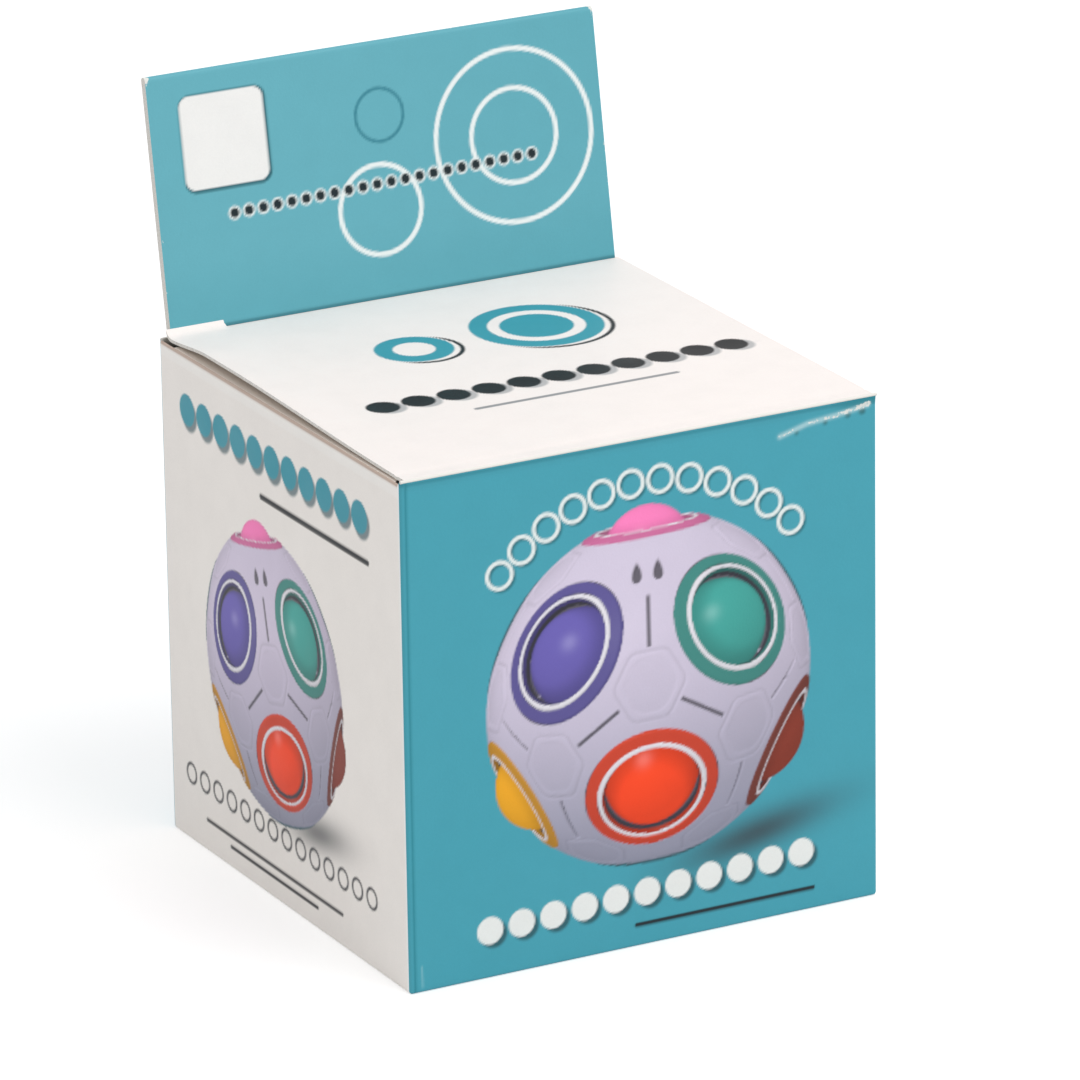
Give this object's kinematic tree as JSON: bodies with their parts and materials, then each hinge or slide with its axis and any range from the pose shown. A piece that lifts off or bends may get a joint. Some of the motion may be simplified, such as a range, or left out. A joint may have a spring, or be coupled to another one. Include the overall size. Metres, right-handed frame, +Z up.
{
  "type": "boxed ball-shifting puzzle",
  "caption": "Cube retail carton with tuck lid and header card, holding a hollow ball puzzle: loose coloured balls press in, and one shifts across to the empty socket.",
  "frame": {"origin": "middle of the carton's base, on the surface it stands on", "axes": "+Z up; -Y towards the teal front panel, where the lid is hinged; +Y towards the header card"},
  "size_m": [0.078, 0.0843, 0.1167],
  "materials": {
    "teal_board": "printed carton board, satin varnish, teal",
    "white_board": "coated carton board, satin varnish, white",
    "grey_board": "uncoated inside of the carton board",
    "shell_plastic": "moulded, satin, lavender white",
    "core_rubber": "soft matt elastomer",
    "ring_pink": "moulded inlay ring, satin, pink",
    "ball_pink": "moulded ball, glossy, pink",
    "ring_violet": "moulded inlay ring, satin, violet",
    "ball_violet": "moulded ball, glossy, violet",
    "ring_green": "moulded inlay ring, satin, green",
    "ball_green": "moulded ball, glossy, green",
    "ring_red": "moulded inlay ring, satin, red",
    "ball_red": "moulded ball, glossy, red",
    "ring_sky": "moulded inlay ring, satin, sky",
    "ball_sky": "moulded ball, glossy, sky",
    "ring_grey": "moulded inlay ring, satin, grey",
    "ring_orange": "moulded inlay ring, satin, orange",
    "ball_orange": "moulded ball, glossy, orange",
    "ring_brown": "moulded inlay ring, satin, brown",
    "ball_brown": "moulded ball, glossy, brown",
    "ring_lime": "moulded inlay ring, satin, lime",
    "ball_lime": "moulded ball, glossy, lime",
    "ring_cream": "moulded inlay ring, satin, cream",
    "ball_cream": "moulded ball, glossy, cream",
    "ring_yellow": "moulded inlay ring, satin, yellow",
    "ball_yellow": "moulded ball, glossy, yellow",
    "ring_navy": "moulded inlay ring, satin, navy",
    "ball_navy": "moulded ball, glossy, navy"
  },
  "bodies": {
    "carton": {"front_panel": "teal_board", "back_panel": "teal_board", "left_panel": "white_board", "right_panel": "white_board", "glue_flap": "grey_board", "base_panel": "white_board", "base_dust_flap_left": "grey_board", "base_dust_flap_right": "grey_board", "base_tuck_flap": "grey_board", "header_back": "teal_board", "header_front": "teal_board"},
    "lid": {"lid_panel": "white_board"},
    "tuck_flap": {"lid_tuck_flap": "white_board"},
    "dust_flap_left": {"lid_dust_flap_left": "white_board"},
    "dust_flap_right": {"lid_dust_flap_right": "white_board"},
    "puzzle": {"shell_upper": "shell_plastic", "shell_lower": "shell_plastic", "soft_core": "core_rubber", "ring_pink": "ring_pink", "ring_violet": "ring_violet", "ring_green": "ring_green", "ring_red": "ring_red", "ring_sky": "ring_sky", "ring_grey": "ring_grey", "ring_orange": "ring_orange", "ring_brown": "ring_brown", "ring_lime": "ring_lime", "ring_cream": "ring_cream", "ring_yellow": "ring_yellow", "ring_navy": "ring_navy"},
    "loose_pink": {"ball_pink": "ball_pink"},
    "loose_violet": {"ball_violet": "ball_violet"},
    "loose_green": {"ball_green": "ball_green"},
    "loose_red": {"ball_red": "ball_red"},
    "loose_sky": {"ball_sky": "ball_sky"},
    "loose_orange": {"ball_orange": "ball_orange"},
    "loose_brown": {"ball_brown": "ball_brown"},
    "loose_lime": {"ball_lime": "ball_lime"},
    "loose_cream": {"ball_cream": "ball_cream"},
    "loose_yellow": {"ball_yellow": "ball_yellow"},
    "loose_navy": {"ball_navy": "ball_navy"}
  },
  "joints": [
    {"name": "ball_lift", "type": "slide", "parent": "carton", "child": "puzzle", "axis": [0, 0, 1], "range_m": [0, 0.08]},
    {"name": "lid_open", "type": "hinge", "parent": "carton", "child": "lid", "pos_m": [0, -0.03902, 0.07828], "axis": [1, 0, 0], "range_deg": [0, 180]},
    {"name": "lid_tuck_fold", "type": "hinge", "parent": "lid", "child": "tuck_flap", "pos_m": [0, 0.03762, 0.07828], "axis": [1, 0, 0], "range_deg": [0, 90]},
    {"name": "lid_dust_fold_left", "type": "hinge", "parent": "carton", "child": "dust_flap_left", "pos_m": [-0.03877, 0, 0.07748], "axis": [0, -1, 0], "range_deg": [0, 170]},
    {"name": "lid_dust_fold_right", "type": "hinge", "parent": "carton", "child": "dust_flap_right", "pos_m": [0.03877, 0, 0.07748], "axis": [0, 1, 0], "range_deg": [0, 170]},
    {"name": "press_pink", "type": "slide", "parent": "puzzle", "child": "loose_pink", "axis": [0, 0, -1], "range_m": [0, 0.00502], "stiffness_N_per_m": 300, "deforming": ["soft_core"]},
    {"name": "press_green", "type": "slide", "parent": "puzzle", "child": "loose_green", "axis": [-0.5257, 0.7236, -0.4472], "range_m": [0, 0.00502], "stiffness_N_per_m": 300, "deforming": ["soft_core"]},
    {"name": "press_red", "type": "slide", "parent": "puzzle", "child": "loose_red", "axis": [-0.8507, -0.2764, -0.4472], "range_m": [0, 0.00502], "stiffness_N_per_m": 300, "deforming": ["soft_core"]},
    {"name": "press_sky", "type": "slide", "parent": "puzzle", "child": "loose_sky", "axis": [0, -0.8944, -0.4472], "range_m": [0, 0.00502], "stiffness_N_per_m": 300, "deforming": ["soft_core"]},
    {"name": "press_orange", "type": "slide", "parent": "puzzle", "child": "loose_orange", "axis": [0, 0.8944, 0.4472], "range_m": [0, 0.00502], "stiffness_N_per_m": 300, "deforming": ["soft_core"]},
    {"name": "press_brown", "type": "slide", "parent": "puzzle", "child": "loose_brown", "axis": [-0.8507, 0.2764, 0.4472], "range_m": [0, 0.00502], "stiffness_N_per_m": 300, "deforming": ["soft_core"]},
    {"name": "press_lime", "type": "slide", "parent": "puzzle", "child": "loose_lime", "axis": [-0.5257, -0.7236, 0.4472], "range_m": [0, 0.00502], "stiffness_N_per_m": 300, "deforming": ["soft_core"]},
    {"name": "press_cream", "type": "slide", "parent": "puzzle", "child": "loose_cream", "axis": [0.5257, -0.7236, 0.4472], "range_m": [0, 0.00502], "stiffness_N_per_m": 300, "deforming": ["soft_core"]},
    {"name": "press_yellow", "type": "slide", "parent": "puzzle", "child": "loose_yellow", "axis": [0.8507, 0.2764, 0.4472], "range_m": [0, 0.00502], "stiffness_N_per_m": 300, "deforming": ["soft_core"]},
    {"name": "press_navy", "type": "slide", "parent": "puzzle", "child": "loose_navy", "axis": [0, 0, 1], "range_m": [0, 0.00502], "stiffness_N_per_m": 300, "deforming": ["soft_core"]},
    {"name": "shift_violet", "type": "hinge", "parent": "puzzle", "child": "loose_violet", "pos_m": [-0.03733, -0.01213, 0.06247], "axis": [0.5, 0.1625, 0.8507], "range_deg": [0, 64.57], "deforming": ["soft_core"]}
  ],
  "couplings": [
    {"joint": "lid_open", "follows": "ball_lift", "rad_per_m": 39.2},
    {"joint": "lid_tuck_fold", "follows": "ball_lift", "rad_per_m": 19.6},
    {"joint": "lid_dust_fold_left", "follows": "ball_lift", "rad_per_m": 37},
    {"joint": "lid_dust_fold_right", "follows": "ball_lift", "rad_per_m": 37}
  ]
}
